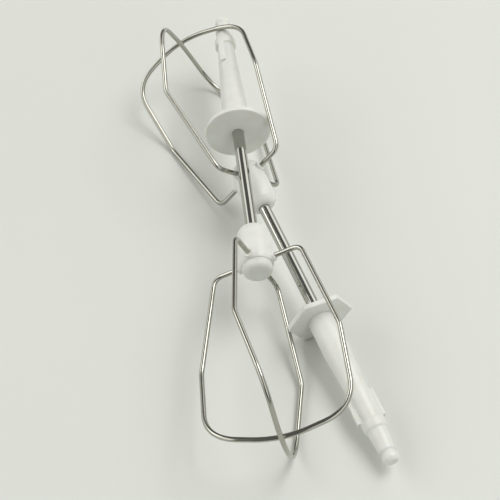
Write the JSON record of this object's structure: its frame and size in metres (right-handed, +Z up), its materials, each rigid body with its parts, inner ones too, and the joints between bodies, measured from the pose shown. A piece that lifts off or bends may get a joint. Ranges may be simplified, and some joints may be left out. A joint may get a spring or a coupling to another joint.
{
  "type": "pair of hand mixer beaters",
  "caption": "Wire beaters for a hand mixer, lying crossed: white drive shanks and hubs, polished steel rods and interlaced wire cages, one round collar and one hexagonal collar.",
  "frame": {"origin": "centre of the pair's bounding box, on the surface that the beaters lie on", "axes": "+Y roughly along both beaters, towards the drive shank of the upper one; +Z up; +X to the right"},
  "size_m": [0.092, 0.2036, 0.0503],
  "materials": {
    "white_plastic": "satin white moulded plastic",
    "cap_plastic": "white moulded plug, a little duller than the hub",
    "rod_steel": "polished stainless rod with fine lengthwise drawing marks",
    "wire_steel": "polished stainless wire"
  },
  "bodies": {
    "hex_beater": {"hex_drive_shank": "white_plastic", "hex_collar": "white_plastic", "hex_steel_rod": "rod_steel", "hex_hub": "white_plastic", "hex_hub_cap": "cap_plastic", "hex_outer_loop": "wire_steel", "hex_inner_loop": "wire_steel"},
    "round_beater": {"round_drive_shank": "white_plastic", "round_collar": "white_plastic", "round_steel_rod": "rod_steel", "round_hub": "white_plastic", "round_hub_cap": "cap_plastic", "round_outer_loop": "wire_steel", "round_inner_loop": "wire_steel"}
  },
  "joints": [
    {"name": "lift_out", "type": "hinge", "parent": "hex_beater", "child": "round_beater", "pos_m": [-0.00295, 0.06165, 0.0311], "axis": [-0.847, 0.391, -0.36], "range_deg": [0, 45]}
  ]
}
